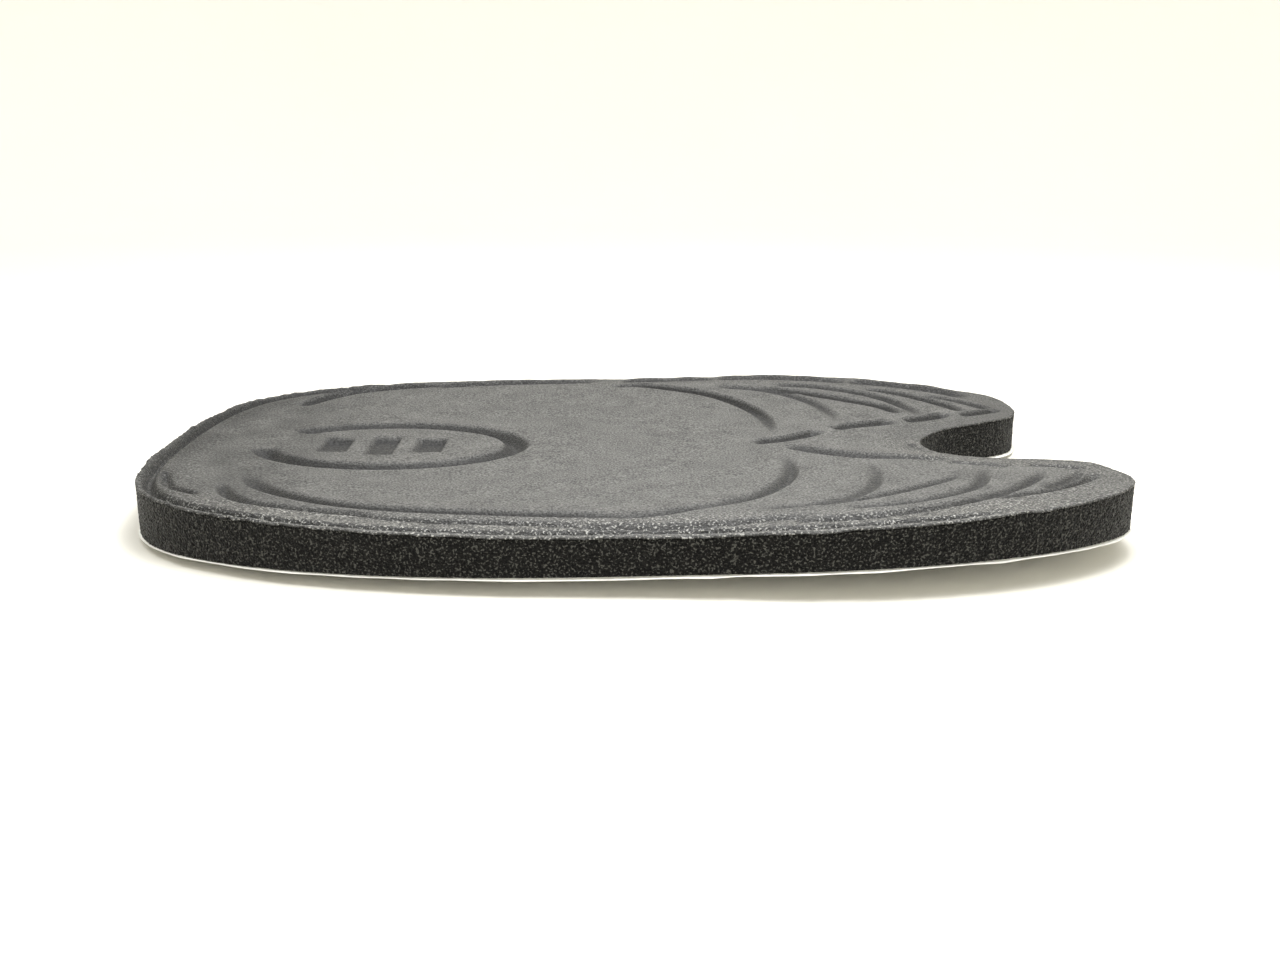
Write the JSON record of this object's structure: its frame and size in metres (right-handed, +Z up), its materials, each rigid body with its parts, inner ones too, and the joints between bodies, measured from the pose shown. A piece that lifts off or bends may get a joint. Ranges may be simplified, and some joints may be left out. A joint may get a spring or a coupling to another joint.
{
  "type": "back protector pad",
  "caption": "Flat die-cut foam protector pad with a rounded end, a notched end, an embossed face of overlapping raised plates and an adhesive back under a release liner.",
  "frame": {"origin": "bottom centre of the pad's box, on the release liner's underside", "axes": "+X along the pad's length towards the notched end, +Y across its width, +Z up through the layers to the embossed face"},
  "size_m": [0.3196, 0.2356, 0.0155],
  "materials": {
    "liner_paper": "smooth siliconised paper, low sheen",
    "adhesive": "translucent pale film, satin",
    "cut_foam": "rough saw-cut closed-cell foam, open cells about one millimetre wide",
    "embossed_skin": "matte heat-formed foam skin with a fine pebbled grain"
  },
  "bodies": {
    "root": {"release_liner": "liner_paper", "adhesive_film": "adhesive", "foam_core": "cut_foam", "face_skin": "embossed_skin"}
  },
  "joints": []
}
